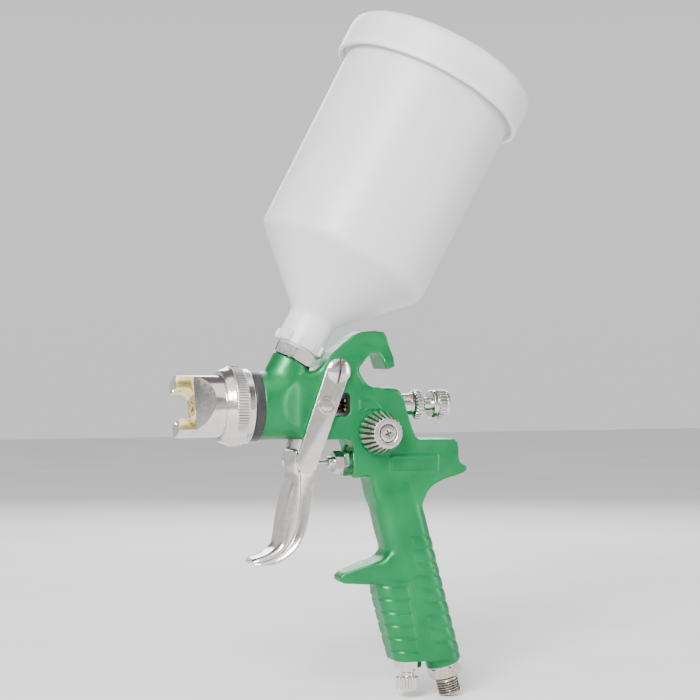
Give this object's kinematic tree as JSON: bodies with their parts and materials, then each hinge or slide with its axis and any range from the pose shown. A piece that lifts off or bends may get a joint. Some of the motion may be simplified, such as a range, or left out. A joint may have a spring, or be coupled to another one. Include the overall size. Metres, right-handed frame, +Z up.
{
  "type": "hvlp spray gun",
  "caption": "Gravity-feed air spray gun: pistol grip body with hook, horned air cap, two-arm trigger, needle and air controls, and a tilted lidded paint cup.",
  "frame": {"origin": "centre of the outer end face of the air inlet's male thread, under the grip", "axes": "+Z up, -X the spray direction with the gun held level, +Y the user's right seen from behind the gun; Y = 0 is the middle plane of the body"},
  "size_m": [0.2009, 0.11, 0.3787],
  "materials": {
    "body": "satin green anodised casting",
    "nickel": "nickel plated, polished",
    "steel": "turned stainless steel",
    "brass": "turned brass",
    "black_plastic": "moulded black plastic",
    "rubber": "black nitrile rubber",
    "seal_plastic": "white sealing plastic",
    "cup_plastic": "milky translucent polypropylene"
  },
  "bodies": {
    "gun": {"gun_body": "body", "seal_ring": "black_plastic", "air_distributor": "brass", "fluid_nozzle": "steel", "nozzle_gasket": "seal_plastic", "needle_packing": "seal_plastic", "packing_nut": "brass", "needle_spring": "steel", "fluid_sleeve": "nickel", "fan_valve_housing": "brass", "air_valve_body": "nickel", "air_valve_gland": "nickel", "air_valve_spring": "steel", "pivot_stud": "nickel", "pivot_screw": "nickel", "air_inlet_fitting": "nickel", "inlet_washer": "seal_plastic", "regulator_housing": "nickel"},
    "trigger": {"trigger": "nickel", "cross_pin": "nickel", "cross_pin_clips": "steel"},
    "needle": {"fluid_needle": "steel", "needle_collar": "brass"},
    "valve_stem": {"air_valve_stem": "steel", "air_valve_seal": "rubber"},
    "spring_seat": {"needle_spring_seat": "brass"},
    "fluid_knob": {"fluid_knob": "nickel"},
    "locknut": {"fluid_locknut": "nickel"},
    "fan_seal": {"fan_spindle_seal": "rubber"},
    "fan_knob": {"fan_knob": "nickel", "fan_spindle": "steel", "fan_knob_screw": "nickel"},
    "regulator_seal": {"regulator_spindle_seal": "rubber"},
    "regulator_knob": {"regulator_knob": "nickel"},
    "cap_ring": {"air_cap_ring": "nickel"},
    "air_cap": {"air_cap": "nickel"},
    "cup": {"cup_connector": "nickel", "cup_gasket": "seal_plastic", "paint_cup": "cup_plastic"},
    "lid": {"cup_lid": "cup_plastic"}
  },
  "joints": [
    {"name": "trigger_pull", "type": "hinge", "parent": "gun", "child": "trigger", "pos_m": [-0.07118, 0, 0.18014], "axis": [0, -1, 0], "range_deg": [0, 10], "stiffness_Nm_per_rad": 2.5, "springref_deg": -5.73},
    {"name": "needle_slide", "type": "slide", "parent": "gun", "child": "needle", "axis": [1, 0, 0], "range_m": [0, 0.0036], "deforming": ["needle_spring"]},
    {"name": "valve_slide", "type": "slide", "parent": "gun", "child": "valve_stem", "axis": [1, 0, 0], "range_m": [0, 0.009], "deforming": ["air_valve_spring"]},
    {"name": "fluid_feed", "type": "slide", "parent": "gun", "child": "spring_seat", "axis": [1, 0, 0], "range_m": [-0.0045, 0.002]},
    {"name": "fluid_turn", "type": "hinge", "parent": "spring_seat", "child": "fluid_knob", "pos_m": [-0.01258, 0, 0.16114], "axis": [1, 0, 0], "range_deg": [-1640, 740]},
    {"name": "locknut_turn", "type": "hinge", "parent": "gun", "child": "locknut", "pos_m": [-0.02058, 0, 0.16114], "axis": [1, 0, 0], "range_deg": [-90, 90]},
    {"name": "fan_feed", "type": "slide", "parent": "gun", "child": "fan_seal", "axis": [0, -1, 0], "range_m": [0, 0.002]},
    {"name": "fan_turn", "type": "hinge", "parent": "fan_seal", "child": "fan_knob", "pos_m": [-0.04688, -0.011, 0.14634], "axis": [0, -1, 0], "range_deg": [0, 740]},
    {"name": "regulator_feed", "type": "slide", "parent": "gun", "child": "regulator_seal", "axis": [0, 0, -1], "range_m": [0, 0.0015]},
    {"name": "regulator_turn", "type": "hinge", "parent": "regulator_seal", "child": "regulator_knob", "pos_m": [-0.02567, 0, 0.01964], "axis": [0, 0, -1], "range_deg": [0, 740]},
    {"name": "cap_ring_turn", "type": "hinge", "parent": "gun", "child": "cap_ring", "pos_m": [-0.12558, 0, 0.16114], "axis": [-1, 0, 0], "continuous": true},
    {"name": "air_cap_turn", "type": "hinge", "parent": "gun", "child": "air_cap", "pos_m": [-0.13858, 0, 0.16114], "axis": [-1, 0, 0], "range_deg": [-90, 90]},
    {"name": "cup_turn", "type": "hinge", "parent": "gun", "child": "cup", "pos_m": [-0.0878, 0, 0.19646], "axis": [0.4695, 0, 0.8829], "continuous": true},
    {"name": "lid_lift", "type": "slide", "parent": "cup", "child": "lid", "axis": [0.4695, 0, 0.8829], "range_m": [0, 0.06]}
  ],
  "couplings": [
    {"joint": "needle_slide", "follows": "trigger_pull", "m_per_rad": 0.0191},
    {"joint": "valve_slide", "follows": "trigger_pull", "m_per_rad": 0.0488},
    {"joint": "fluid_turn", "follows": "fluid_feed", "rad_per_m": 6283.2},
    {"joint": "fan_turn", "follows": "fan_feed", "rad_per_m": 6283.2},
    {"joint": "regulator_turn", "follows": "regulator_feed", "rad_per_m": 8377.6}
  ]
}
